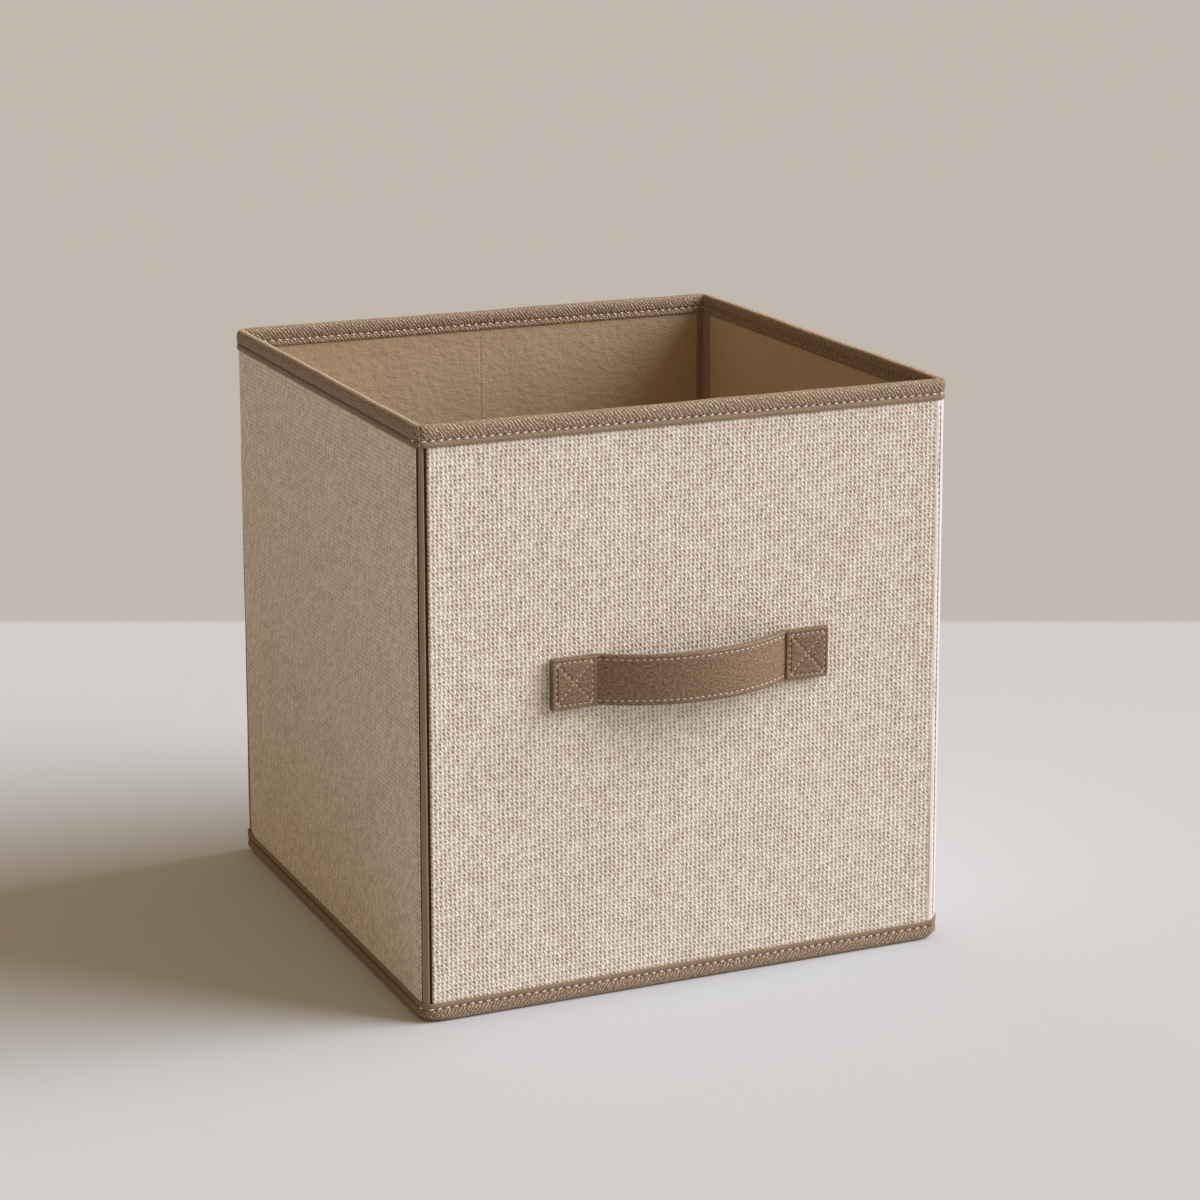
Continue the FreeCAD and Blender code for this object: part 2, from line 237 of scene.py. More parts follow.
NARROW = 10.0


def sheet(length, width):
    """Turns a cloth piece's length and width into metres when both are wider than NARROW; the results are
    not used.
    """
    if min(length, width) > NARROW:
        length * MM
        width * MM


# Materials
class Look:
    """A procedural material. Its patterns follow the pieces' own UV map, in metres."""

    def __init__(self, name, roughness=0.9, sheen=0.0, specular=0.25):
        self.material = bpy.data.materials.new(name)
        self.material.use_nodes = True
        self.tree = self.material.node_tree
        self.shader = self.tree.nodes["Principled BSDF"]
        self.set(self.shader, {"Roughness": roughness, "Specular IOR Level": specular})
        if sheen:
            self.set(self.shader, {"Sheen Weight": sheen, "Sheen Roughness": 0.6})
        place = self.node("TexCoord")
        self.uv, self.object = place.outputs["UV"], place.outputs["Object"]
        split = self.node("SeparateXYZ", {0: self.uv})
        self.u, self.v = Value(self, split.outputs["X"]), Value(self, split.outputs["Y"])

    def set(self, node, values):
        """Give a node's inputs their values. Sockets and Values are linked."""
        for name, value in values.items():
            if isinstance(value, Value):
                value = value.socket
            if isinstance(value, bpy.types.NodeSocket):
                self.tree.links.new(value, node.inputs[name])
            else:
                node.inputs[name].default_value = value

    def node(self, kind, values=None, **settings):
        made = self.tree.nodes.new(f"ShaderNode{kind}")
        for name, value in settings.items():
            setattr(made, name, value)
        self.set(made, values or {})
        return made

    def do(self, operation, *values):
        return Value(self, self.node("Math", dict(enumerate(values)), operation=operation).outputs[0])

    def noise(self, scale, detail=2.0, stretch=(1, 1, 1), vector=None, roughness=0.5):
        mapped = self.node("Mapping", {"Scale": stretch, "Vector": vector or self.uv}).outputs[0]
        values = {"Scale": scale, "Detail": detail, "Roughness": roughness, "Vector": mapped}
        return Value(self, self.node("TexNoise", values).outputs["Fac"])

    def random(self, across, along):
        pair = self.node("CombineXYZ", {"X": across, "Y": along}).outputs[0]
        noise = self.node("TexWhiteNoise", {"Vector": pair}, noise_dimensions="2D")
        return Value(self, noise.outputs["Value"])

    def ramp(self, value, *stops):
        node = self.node("ValToRGB", {"Fac": value})
        elements = node.color_ramp.elements
        while len(elements) < len(stops):
            elements.new(0.5)
        for element, (position, colour) in zip(elements, stops):
            element.position = position
            element.color = (*colour, 1)
        return node.outputs["Color"]

    def shade(self, colour, brightness):
        grey = self.node("CombineXYZ", dict.fromkeys("XYZ", brightness)).outputs[0]
        values = {"Factor": 1.0, "A": colour, "B": grey}
        return self.node("Mix", values, data_type="RGBA", blend_type="MULTIPLY").outputs["Result"]

    def finish(self, colour, height, depth):
        bump = self.node("Bump", {"Strength": 1.0, "Distance": depth * MM, "Height": height}).outputs[0]
        self.set(self.shader, {"Base Color": colour, "Normal": bump})
        return self.material


class Value:
    """A number in a material's node tree. Sums and products of such numbers add Math nodes."""

    def __init__(self, look, socket):
        self.look, self.socket = look, socket

    def __add__(self, other):
        return self.look.do("ADD", self, other)

    def __sub__(self, other):
        return self.look.do("SUBTRACT", self, other)

    def __rsub__(self, other):
        return self.look.do("SUBTRACT", other, self)

    def __mul__(self, other):
        return self.look.do("MULTIPLY", self, other)

    def __truediv__(self, other):
        return self.look.do("DIVIDE", self, other)

    def at_least(self, low):
        return self.look.do("MAXIMUM", self, low)

    def within(self, low, high):
        return self.look.do("MINIMUM", self.at_least(low), high)

    def apply(self, operation):
        return self.look.do(operation, self)

    def spread(self, low, high):
        """The number, which is from 0 to 1, stretched to low to high."""
        return self * (high - low) + low

    def wave(self, pitch, shape="SINE"):
        """One wave to every pitch, in millimetres."""
        return (self * (2 * math.pi / (pitch * MM))).apply(shape)

    def peak(self, place, width):
        """1 at a place and 0 from a width away on, in millimetres."""
        away = (self - place * MM).apply("ABSOLUTE") / (width * MM)
        return (1 - away).at_least(0.0)


WEAVE_PITCH = 2.2
LINEN_COLOURS = ((0.14, (0.29, 0.215, 0.15)), (0.52, (0.585, 0.510, 0.430)), (0.84, (0.85, 0.80, 0.748)))
BINDING_COLOURS = ((0.0, (0.135, 0.092, 0.055)), (0.5, (0.295, 0.209, 0.136)), (1.0, (0.50, 0.385, 0.295)))
LINING_COLOUR, LEATHER_COLOUR = (0.42, 0.315, 0.21, 1), (0.198, 0.124, 0.070, 1)
CARD_COLOUR = (0.42, 0.33, 0.23, 1)

# Where the binding's smooth lip ends, its stitches run and its ridge is seen from the side, from its edge.
# On the side walls a highlight is painted along that ridge.
LIP_END, STITCH_ROW, HIGHLIGHT_RIDGE = 3.6, 3.5, 12.6


def woven():
    """Open weave: thick upright yarns, crosswise yarns and small brown holes, none quite like the next."""
    look = Look("woven_linen", 0.95, 0.15)

    def wander(scale, size, stretch):
        return (look.noise(scale, 3, stretch, roughness=0.6) - 0.5) * (size * MM)

    bent_u = look.u + (wander(70, 1.9, (1, 1, 1)) + wander(340, 1.2, (1.1, 0.8, 1)))
    bent_v = look.v + (wander(75, 1.9, (1.1, 0.9, 1)) + wander(360, 1.4, (0.9, 1.2, 1)))
    across = bent_u / (WEAVE_PITCH * MM)
    slip = (across.apply("FRACT") - 0.5) * 0.6
    along = bent_v / (WEAVE_PITCH * MM) + slip
    wave_u = (across * math.pi).apply("COSINE")
    wave_v = (along * math.pi).apply("COSINE")
    over = wave_u * wave_v
    high_u, high_v = wave_u.apply("ABSOLUTE"), wave_v.apply("ABSOLUTE")
    crown = look.random(across.apply("ROUND"), along.apply("ROUND"))
    hole = look.random(across.apply("FLOOR"), along.apply("FLOOR"))
    upright = high_u * (over * 0.32 + crown.spread(0.56, 0.78))
    crosswise = high_v * (crown.spread(0.48, 0.68) - over * 0.26)
    inside = (1 - high_u) * (1 - high_v)
    rows = (along * math.pi).apply("SINE").apply("ABSOLUTE")
    relief = upright.at_least(crosswise) + inside * hole.spread(-0.10, 0.42) - rows * rows * 0.04
    fibre = look.noise(1500, 3, (1, 0.4, 1), roughness=0.6)
    relief = relief + (fibre - 0.5) * 0.35
    patches = look.noise(22, 3).spread(0.96, 1.04) * look.noise(260, 2).spread(0.95, 1.05)
    return look.finish(look.shade(look.ramp(relief, *LINEN_COLOURS), patches), relief, 0.45)


def twill():
    """Binding cloth: broken slanting strokes, a smooth lip beyond the stitches, a row of needle holes with
    painted shade in them. Painted shade on the side walls, a painted highlight on their ridge.
    """
    look = Look("brown_binding", 0.6, 0.22)
    look.set(look.shader, {"Sheen Roughness": 0.4, "Sheen Tint": (1.0, 0.84, 0.66, 1)})
    bend = (look.noise(420, 3) - 0.5) * (2.6 * MM)
    stroke = (look.u * 0.80 + look.v * 0.60 + bend).wave(1.5)
    broken = ((look.noise(760, 2) - 0.5) * 3.6 + 0.62).within(0.0, 1.0)
    above_lip = ((look.v - LIP_END * MM) * (1 / (0.8 * MM))).within(0.15, 1.0)
    relief = stroke.spread(0.42, 1.02) * broken * above_lip + look.noise(2600, 3) * 0.35
    tone = above_lip.spread(1.30, 1.0) * look.noise(60, 2).spread(0.90, 1.10)
    # On the left and right walls the binding is painted darker, a painted shade, and paler along its top
    # ridge, a painted highlight.
    painted_side_light = (0.5 - look.u.wave(2 * QUARTER, "COSINE") * 6.0).within(0.0, 1.0)
    tone = tone * (painted_side_light * look.v.peak(HIGHLIGHT_RIDGE, 1.7).spread(-0.32, 0.75) + 1.0)
    # Painted shade at the needle holes of the stitch row, darkest between the stitches.
    hole = look.u.wave(STITCH_PITCH, "COSINE").at_least(0.0).spread(0.25, 0.80)
    tone = tone * (1 - look.v.peak(STITCH_ROW, 0.75) * hole)
    return look.finish(look.shade(look.ramp(relief, *BINDING_COLOURS), tone), relief, 0.26)


def brushed(name, colour, depth, scale=1300, contrast=0.12, sheen=0.25, shine=0.25):
    """Close cloth with a soft nap."""
    look = Look(name, 0.95, sheen, shine)
    nap = look.noise(scale, 4)
    tone = nap.spread(1 - contrast, 1 + contrast) * look.noise(30, 3).spread(0.93, 1.07)
    return look.finish(look.shade((*colour, 1), tone), nap, depth)


def pebbled():
    """Pressed lining felt with soft dents."""
    look = Look("inner_lining", 0.92, 0.2)
    dents = look.noise(230, 3, (1, 1.2, 1), roughness=0.6)
    grain = look.noise(1200, 3)
    tone = grain.spread(0.92, 1.08) * look.noise(28, 3).spread(0.93, 1.07)
    return look.finish(look.shade(LINING_COLOUR, tone), dents * 1.6 + grain * 0.35, 0.42)


def leather():
    """Grained leather cloth with faint slanting strokes."""
    look = Look("handle_leather", 0.58, specular=0.4)
    bend = (look.noise(350, 3) - 0.5) * (1.6 * MM)
    stroke = (look.u * 0.62 + look.v * 0.78 + bend).wave(1.2)
    grain = (look.noise(760, 4, (1, 1.2, 1), roughness=0.6) - 0.5) * 3.6 + 0.5
    relief = stroke.spread(0.0, 0.10) + grain
    tone = relief.spread(0.58, 1.40) * look.noise(120, 2).spread(0.92, 1.08)
    return look.finish(look.shade(LEATHER_COLOUR, tone), relief, 0.15)


def card():
    look = Look("stiffener_board", 0.9)
    fleck = look.noise(900, 3, vector=look.object)
    return look.finish(look.shade(CARD_COLOUR, fleck.spread(0.85, 1.15)), fleck, 0.05)


def thread(name, colour):
    look = Look(name, 0.7, 0.1)
    twist = (look.u + look.v).wave(0.55)
    return look.finish(look.shade((*colour, 1), twist.spread(0.94, 1.06)), twist, 0.05)


WOVEN, BINDING, LEATHER, CARD, LINING = woven(), twill(), leather(), card(), pebbled()
PALE_THREAD = thread("sewing_thread", (0.74, 0.65, 0.55))
# Darker copies of the sewing thread for the rows on the side walls: painted shade. The tan one is also the
# own thread of the front selvedge's row.
SHADED_THREAD = thread("shaded_side_thread", (0.10, 0.068, 0.042))
TAN_AND_SHADED_THREAD = thread("tan_and_shaded_thread", (0.34, 0.25, 0.175))
TAPE = brushed("brown_tape", (0.225, 0.152, 0.09), 0.06)
STRIP_LOOK = brushed("corner_strip", (0.27, 0.185, 0.115), 0.06)
# Near-black cloth for the webs in the corner grooves: painted shade.
GROOVE_SHADE = brushed("groove_shade_cloth", (0.045, 0.03, 0.018), 0.05, sheen=0.0, shine=0.0)
# The smooth selvedge's pale colour is a painted highlight on the front right corner; its outer part is a
# darker copy, painted darker where that corner faces the light most.
SELVEDGE_HIGHLIGHT = brushed("selvedge_painted_highlight", (0.70, 0.67, 0.64), 0.12, 700, 0.10)
SELVEDGE_EDGE = brushed("selvedge_edge", (0.56, 0.53, 0.50), 0.12, 700, 0.10)
BASE_LOOK = brushed("base_cloth", (0.30, 0.21, 0.14), 0.08)

for name, node in frame["nodes"].items():
    if name.endswith("_board"):
        node.data.materials.clear()
        node.data.materials.append(CARD)

# Where each body's share of the outline lies
FRONT_END = FRONT_STRAIGHT + CORNER * SPLIT_TURN
SIDE_END = SIDE_STRAIGHT - HINGE_REACH


def hinge(first, second, side, end):
    """The two bodies that meet at a corner, and a line out from their hinge axis where their shares of the
    outline meet.
    """
    pivot = np.array([side * PIVOT.x, end * -PIVOT.y, 0])
    towards = np.array([side * math.cos(SPLIT_TURN), -end * math.sin(SPLIT_TURN), 0])
    return (first, second, pivot, pivot + towards * HINGE_BEND)


def crease(side, reach):
    """The two halves of a side wall, and a line across its crease."""
    name, x = ("right", HALF_X) if side > 0 else ("left", -HALF_X)
    return (f"{name}_front", f"{name}_back", (x, -reach, 0), (x, reach, 0))


CORNER_BODY = {
    "front_right": hinge("front", "right_front", 1, -1),
    "back_right": "right_back",
    "back_left": hinge("back", "left_back", -1, 1),
    "front_left": hinge("front", "left_front", -1, -1),
}
RIGHT_HALVES, LEFT_HALVES = ("right_front", "right_back"), ("left_front", "left_back")
RUNS = (
    ("front", -FRONT_END, FRONT_END, "front", ("front",)),
    ("front_right", FRONT_END, QUARTER - SIDE_END, CORNER_BODY["front_right"], ()),
    ("right", QUARTER - SIDE_END, QUARTER + SIDE_END, crease(1, CREASE_REACH), RIGHT_HALVES),
    ("back_right", QUARTER + SIDE_END, BACK - FRONT_END, CORNER_BODY["back_right"], ()),
    ("back", BACK - FRONT_END, BACK + FRONT_END, "back", ("back",)),
    ("back_left", BACK + FRONT_END, LEFT - SIDE_END, CORNER_BODY["back_left"], ()),
    ("left", LEFT - SIDE_END, LEFT + SIDE_END, crease(-1, CREASE_REACH), LEFT_HALVES),
    ("front_left", LEFT + SIDE_END, LAP - FRONT_END, CORNER_BODY["front_left"], ()),
)

# Bindings. A section is (out, height) from the binding's edge.
LIP = (
    (0.05, 0.0), (0.42, 0.04), (0.62, 0.35), (0.70, 1.1), (0.64, 1.9), (0.46, 2.5), (0.32, 3.0),
    (0.48, 3.5), (0.68, 4.3),
)
RIM_SECTION = LIP + (
    (0.78, 5.5), (0.78, 6.8), (0.62, 8.0), (0.22, 9.0), (-0.45, 9.62), (-1.25, 9.92), (-2.0, 10.0),
)
HEM_SECTION = [(out, HEM_EDGE - height) for out, height in LIP[:7]]
HEM_SECTION += [(0.44, 6.35), (0.55, BASE_SPLIT + 0.02)]
BASE_SECTION = [
    (0.55, BASE_SPLIT - 0.02), (0.72, 4.7), (0.78, 3.6), (0.72, 2.5), (0.48, 1.6), (0.05, 0.9),
    (-0.6, 0.4), (-1.3, 0.1), (-2.0, 0.0),
]
BINDING_GAP = 0.02


def both_sides(half):
    """The section's outer half with its mirror image on the inside of the wall."""
    half = list(half)
    mirrored = [(-WALL - out, height) for out, height in half[::-1]]
    return half + (mirrored[1:] if half[-1][0] == -WALL / 2 else mirrored)


def stitched(u, height, row):
    """How far the cloth is pulled in where the thread goes through it."""
    phase = (u / STITCH_PITCH) % 1 - 0.5
    holes = hill(np.abs(phase) - 0.5, 0.10)
    return (0.16 + 0.50 * holes) * hill(height - row, 0.6)


def close_side(edge, end):
    """The inner line of a binding's section, close round the wall from one edge to end and back."""
    return [(BINDING_GAP, edge), (BINDING_GAP, end), (-WALL - BINDING_GAP, end), (-WALL - BINDING_GAP, edge)]


def lumps(u, height, seed):
    broad = np.sin(u / 17.3 + seed) * np.cos(height / 4 + u / 31 + seed)
    return 0.10 * broad + 0.05 * np.sin(u / 5.1 + 2 * seed)


def every_lap(places):
    """The given places, on the laps of the outline before and after as well."""
    return [place + LAP * lap for place in places for lap in (-1, 0, 1)]


MIDDLE_OF_TURN = FRONT_STRAIGHT + CORNER * math.pi / 4
EAR_PLACE = FRONT_STRAIGHT + CORNER * math.radians(72)
CUT_CORNERS = every_lap([-MIDDLE_OF_TURN, BACK - MIDDLE_OF_TURN])
EARED_CORNERS = every_lap([MIDDLE_OF_TURN, BACK + MIDDLE_OF_TURN])
EARS = every_lap([EAR_PLACE, BACK + EAR_PLACE])
BUTT_SEAMS = every_lap([-FRONT_STRAIGHT - CORNER * math.radians(37)])


def near(u, places, width):
    return sum(hill(u - place, width) for place in places)


def round_corner(u, out, height, outer):
    """The binding's foot rises a little at the corners, and at two of them it also takes a wider turn."""
    low_part = ease((8.3 - height) / 4.5)
    outer_edge = ease((out + 2.6) / 2)
    out = out - 1.3 * near(u, CUT_CORNERS, 4.6) * low_part * outer
    share = np.clip(1 - height / BASE_SPLIT, 0, 1)
    rise = 1.6 * near(u, CUT_CORNERS, 7.0) * share + 3.0 * near(u, EARED_CORNERS, 4.0) * share ** 1.5
    return out, height + rise * outer_edge


def binding_places(start, end, along_step=STITCH_PITCH / 4):
    dense = [(QUARTER * k, CREASE_REACH + 0.6, 0.3) for k in (1, 3) if start < QUARTER * k < end]
    dense += [(corner, CORNER, 0.5) for corner in CUT_CORNERS + EARED_CORNERS]
    dense += [(seam, 1.2, 0.2) for seam in BUTT_SEAMS]
    return samples(start, end, along_step, *dense)


def grid(places, shape):
    """Places, outs and heights of a section swept along places, and which of its points lie outermost."""
    outer = np.arange(len(shape))[None, :] < len(shape) // 2
    return places[:, None], shape[None, :, 0], shape[None, :, 1], outer


def rim_piece(name, start, end, body, halves):
    places = binding_places(start, end)
    around = [(out, RIM_LOW + height) for out, height in both_sides(RIM_SECTION)]
    shape = section(around, close_side(RIM_LOW + 0.1, WALL_TOP))
    u, out, height, outer = grid(places, shape)
    face = np.where(out > -WALL / 2, 1.0, -1.0)
    pull = stitched(u, height, RIM_STITCH) - 0.5 * lumps(u, height, 0.7) * hill(height - RIM_STITCH - 3.5, 3)
    out = out - face * pull * outer * (height < RIM_TOP - 1.0)
    unevenness = 0.12 * np.sin(u / 23) + 0.08 * np.sin(u / 7.7)
    height = height + np.where(outer & (height > RIM_TOP - 2), unevenness, 0)
    seam = near(u, BUTT_SEAMS, 0.35)
    out = out - face * outer * 0.35 * seam
    height = height - outer * 0.35 * seam * ease((height - RIM_TOP + 2.5) / 1.5)
    made = band(f"{name}_rim_binding", outline(u, out, height), places, lengths(shape))
    finished(made, body, BINDING, [f"{half}_rim" for half in halves])
    sheet(end - start, 2 * (RIM_TOP - RIM_LOW) + WALL)


def hem_piece(name, start, end, body, halves):
    places = binding_places(start, end)
    around = HEM_SECTION + [(-WALL - out, height) for out, height in HEM_SECTION[::-1]]
    shape = section(around, close_side(HEM_EDGE - 0.1, WALL_FOOT))
    u, out, height, outer = grid(places, shape)
    face = np.where(out > -WALL / 2, 1.0, -1.0)
    front = outer * (face > 0)
    pull = stitched(u, height, HEM_STITCH) * (1 - np.minimum(near(u, EARED_CORNERS, 5.0), 1))
    out = out - face * pull * outer * ease((height - BASE_SPLIT) / 0.5)
    out, height = round_corner(u, out, height, front)
    ear = front * near(u, EARS, 3.8) * ease((height - HEM_STITCH) / (HEM_EDGE - HEM_STITCH))
    points = outline(u, out + 0.12 * ear, height + 2.6 * ear)
    made = band(f"{name}_hem_binding", points, places, lengths(shape))
    finished(made, body, BINDING, [f"{half}_hem" for half in halves])
    sheet(end - start, 2 * (HEM_TOP - BASE_SPLIT) + WALL)


def base_loop():
    around = BASE_SECTION + [(-WALL - out, height) for out, height in BASE_SECTION[-2::-1]]
    edge = BASE_SPLIT - 0.05
    shape = section(around, [(0.0, edge), (-0.05, 1.2), (-WALL + 0.05, 1.2), (-WALL, edge)])
    places = binding_places(-BACK, BACK - 0.5, 1.0)
    u, out, height, outer = grid(places, shape)
    out, height = round_corner(u, out, height, outer & (out > -WALL / 2))
    across = lengths(shape) + HEM_TOP - BASE_SPLIT
    made = band("base_binding", outline(u, out, height), places, across, closed=True)
    nodes = [f"base_binding_{side}" for side in ("front", "back", "left", "right")]
    finished(made, "front", BINDING, nodes)
    sheet(LAP, 2 * BASE_SPLIT + WALL)


for run in RUNS:
    rim_piece(*run)
    hem_piece(*run)
base_loop()


# Woven covers, one sheet to each side of the cube, with both upright edges folded in round the board
CLOTH, COVER_FOLD, COVER_TURN = 0.8, 3.1, 0.95
EDGE_LEAN = 1.0


def ripple(u, height):
    broad = np.sin(u / 37 + 1.1) * np.sin(height / 61 + u / 90)
    fine = np.sin(u / 11.3 + height / 47) * np.sin(height / 19 + 0.6)
    return 0.12 * broad + 0.05 * fine


def cover_section(start, end, *dense):
    """Outer and inner line of a folded cover, as (u, out), both from its left edge to its right."""
    middle = samples(start + COVER_TURN, end - COVER_TURN, 3.0, *dense)[1:-1]

    def line(radius, face):
        """One face of the cloth, which turns in at both edges with a radius."""
        angles = np.linspace(0, math.pi / 2, 6)
        rising = -COVER_TURN + radius * np.sin(angles)
        left = np.stack([start + COVER_TURN - radius * np.cos(angles), rising], axis=-1)
        right = np.stack([end - COVER_TURN + radius * np.cos(angles), rising], axis=-1)[::-1]
        flat = np.stack([middle, np.full(len(middle), face)], axis=-1)
        inset = COVER_TURN - radius
        edges = [[(start + inset, -COVER_FOLD)], [(end - inset, -COVER_FOLD)]]
        return np.concatenate([edges[0], left, flat, right, edges[1]])

    return line(COVER_TURN, 0.0), line(COVER_TURN - CLOTH, -CLOTH)


def lean(height):
    """The cover's edge and the strip beside it drift a little round the corner towards the top."""
    return EDGE_LEAN * (2 * height / RIM_TOP - 1)


def cover(name, middle, left, right, body, halves, seam_inset):
    start, end = middle + left, middle + right
    dense = [(end - 8, 9, 0.8), (end - seam_inset, 1.2, 0.25), (start + 2, 3, 0.8)]
    if len(halves) == 2:
        dense.append((middle, 2.4, 0.2))
    outer, inner = cover_section(start, end, *dense)
    heights = samples(HEM_TOP - 2.0, WALL_TOP, 4.0)
    shape = np.concatenate([outer, inner[::-1]])
    u, out = shape[None, :, 0], shape[None, :, 1]
    z = heights[:, None]
    inside = ease((z - HEM_TOP - 0.5) / 14) * ease((RIM_LOW - 0.5 - z) / 14)
    free = inside * ease((u - start) / 12) * ease((end - u) / 12)
    hem = ease((u - end + 17) / 1.6)
    seam = hill(u - end + seam_inset, 0.5)
    out = out - (0.15 - ripple(u, z)) * free - 0.16 * (1 - hem) - 0.25 * seam * inside
    if len(halves) == 2:
        out = out - 0.35 * hill(u - middle, 2.2) * inside
        u = u + 0.65 * lean(z) * ease((u - end + 8) / 8)
    else:
        u = u + 0.4 * lean(z) * ease((start + 8 - u) / 8)
    points = outline(u + 0 * z, out, z + 0 * u)
    made = band(f"{name}_cloth", points, heights, shape[:, 0], flip=True)
    finished(made, body, WOVEN, [f"{half}_cover" for half in halves])
    sheet(WALL_TOP - WALL_FOOT, right - left + 2 * COVER_FOLD)


MARGIN, WRAP = math.radians(82) * CORNER, math.radians(17.5) * CORNER
ROUND_SEAM, FLAT_SEAM = math.radians(61) * CORNER, 2.7
FLAT_STRIP_FROM, FLAT_STRIP_TO = 0.35, 3.5
RIGHT_START = -SIDE_STRAIGHT + FLAT_STRIP_TO + 0.9
LEFT_START = -SIDE_STRAIGHT - (STRIP_INNER - FRONT_STRAIGHT)
SIDE_MARGIN = SIDE_STRAIGHT + WRAP
cover("front", 0, 0.65 - STRIP_INNER, FRONT_STRAIGHT + MARGIN, "front", ("front",), ROUND_SEAM)
cover("back", BACK, -STRIP_INNER, FRONT_STRAIGHT + WRAP, "back", ("back",), FLAT_SEAM)
cover("right", QUARTER, RIGHT_START, SIDE_MARGIN, crease(1, COVER_REACH), RIGHT_HALVES, FLAT_SEAM)
cover("left", LEFT, LEFT_START, SIDE_MARGIN, crease(-1, COVER_REACH), LEFT_HALVES, FLAT_SEAM)


# Linings
def lining(name, middle, reach, body, halves):
    places = samples(middle - reach, middle + reach, 4.0, (middle, 3.2, 0.25))
    heights = samples(WALL_FOOT, WALL_TOP, 4.0)
    u, z = places[None, :], heights[:, None]
    free = ease((z - HEM_TOP - 0.5) / 10) * ease((RIM_LOW - 0.5 - z) / 10)
    waves = 0.14 * np.sin(u / 13 + z / 29) * np.sin(z / 23 + 0.4) + 0.08 * np.sin(u / 5.7 - z / 41)
    step = 0.12 * hill(u - middle - 0.6, 0.6) - 0.05 * hill(u - middle + 0.5, 0.6)
    face = -WALL + (0.14 + waves + step) * free
    back = np.full_like(face, -BOARD_DEPTH - 0.05)
    out = np.concatenate([face, back[:, ::-1]], axis=1)
    around = np.concatenate([places, places[::-1]])
    points = outline(around[None, :] + 0 * z, out, z + 0 * around[None, :])
    made = band(f"{name}_lining_cloth", points, heights, around, flip=True)
    finished(made, body, LINING, [f"{half}_lining" for half in halves])
    sheet(WALL_TOP - WALL_FOOT, 2 * reach)


lining("front", 0, FRONT_STRAIGHT, "front", ("front",))
lining("back", BACK, FRONT_STRAIGHT, "back", ("back",))
lining("right", QUARTER, SIDE_STRAIGHT, crease(1, LINING_REACH), RIGHT_HALVES)
lining("left", LEFT, SIDE_STRAIGHT, crease(-1, LINING_REACH), LEFT_HALVES)


# Brown strips on each side's left margin, and near-black webs at the bottom of the corner grooves, painted
# shade in the grooves
GROOVES = (HEM_TOP - 2.0, WALL_TOP - 0.2)


def upright_band(name, start, end, face, depth, body, material, stands_for=(), edge=0.5, skew=(0, 0)):
    """An upright strip with rounded edges, from start to end round the outline."""
    angles = np.linspace(0, math.pi / 2, 5)
    left = [(start + edge - edge * math.cos(a), face - edge + edge * math.sin(a)) for a in angles]
    right = [(end - edge + edge * math.sin(a), face - edge + edge * math.cos(a)) for a in angles]
    inside = [(u, face) for u in samples(start + edge, end - edge, 0.5)[1:-1]]
    outer = np.array([(start, face - depth)] + left + inside + right + [(end, face - depth)])
    inner = np.stack([outer[:, 0], np.full(len(outer), face - depth - 0.05)], axis=-1)
    shape = np.concatenate([outer, inner[::-1]])
    heights = samples(*GROOVES, 4.0)
    u, out, z = shape[None, :, 0], shape[None, :, 1], heights[:, None]
    wave = 0.05 * np.sin(z / 9.0 + u) + 0.05 * np.sin(z / 23.0)
    share = (u - start) / (end - start)
    u = u + lean(z) * (skew[0] * (1 - share) + skew[1] * share)
    points = outline(u, out + wave * (out > face - edge), z + 0 * u)
    made = band(name, points, heights, shape[:, 0], flip=True)
    return finished(made, body, material, stands_for)


STRIP_FROM, STRIP_TO = math.radians(21.5) * CORNER, math.radians(60.0) * CORNER
RIGHT_EDGE = QUARTER - SIDE_STRAIGHT
STRIPS = (
    ("front", -FRONT_STRAIGHT - STRIP_TO, -FRONT_STRAIGHT - STRIP_FROM, (1, 0.25)),
    ("back", BACK - FRONT_STRAIGHT - STRIP_TO, BACK - FRONT_STRAIGHT - STRIP_FROM, (1, 0.25)),
    ("right_front", RIGHT_EDGE + FLAT_STRIP_FROM, RIGHT_EDGE + FLAT_STRIP_TO, (0, 0)),
    ("left_back", LEFT - SIDE_STRAIGHT - STRIP_TO, LEFT - SIDE_STRAIGHT - STRIP_FROM, (0, 0)),
)
STRIP_DEPTH, WEB_DEPTH = 2.6, 0.4
for name, start, end, skew in STRIPS:
    nodes = [f"{name}_corner_strip"]
    upright_band(f"{name}_strip", start, end, -0.2, STRIP_DEPTH, name, STRIP_LOOK, nodes,
                 skew=skew)
    upright_band(f"{name}_strip_groove_shade", end - 1.0, end + 1.9, -1.0, WEB_DEPTH, name, GROOVE_SHADE,
                 edge=0.2, skew=(skew[1], 0))
for name, cover_end, strip, lap, face, skew in (
    ("front_right", FRONT_STRAIGHT + MARGIN, STRIPS[2], 0, -0.95, (0, 0)),
    ("back_right", QUARTER + SIDE_MARGIN, STRIPS[1], 0, -0.95, (1, 1)),
    ("back_left", BACK + FRONT_STRAIGHT + WRAP, STRIPS[3], 0, -0.95, (0, 0)),
    ("front_left", LEFT + SIDE_MARGIN, STRIPS[0], LAP, -0.65, (1, 1)),
):
    upright_band(f"{name}_web", cover_end - 0.9, lap + strip[1] + 1.0, face, WEB_DEPTH, CORNER_BODY[name],
                 GROOVE_SHADE, edge=0.2, skew=skew)


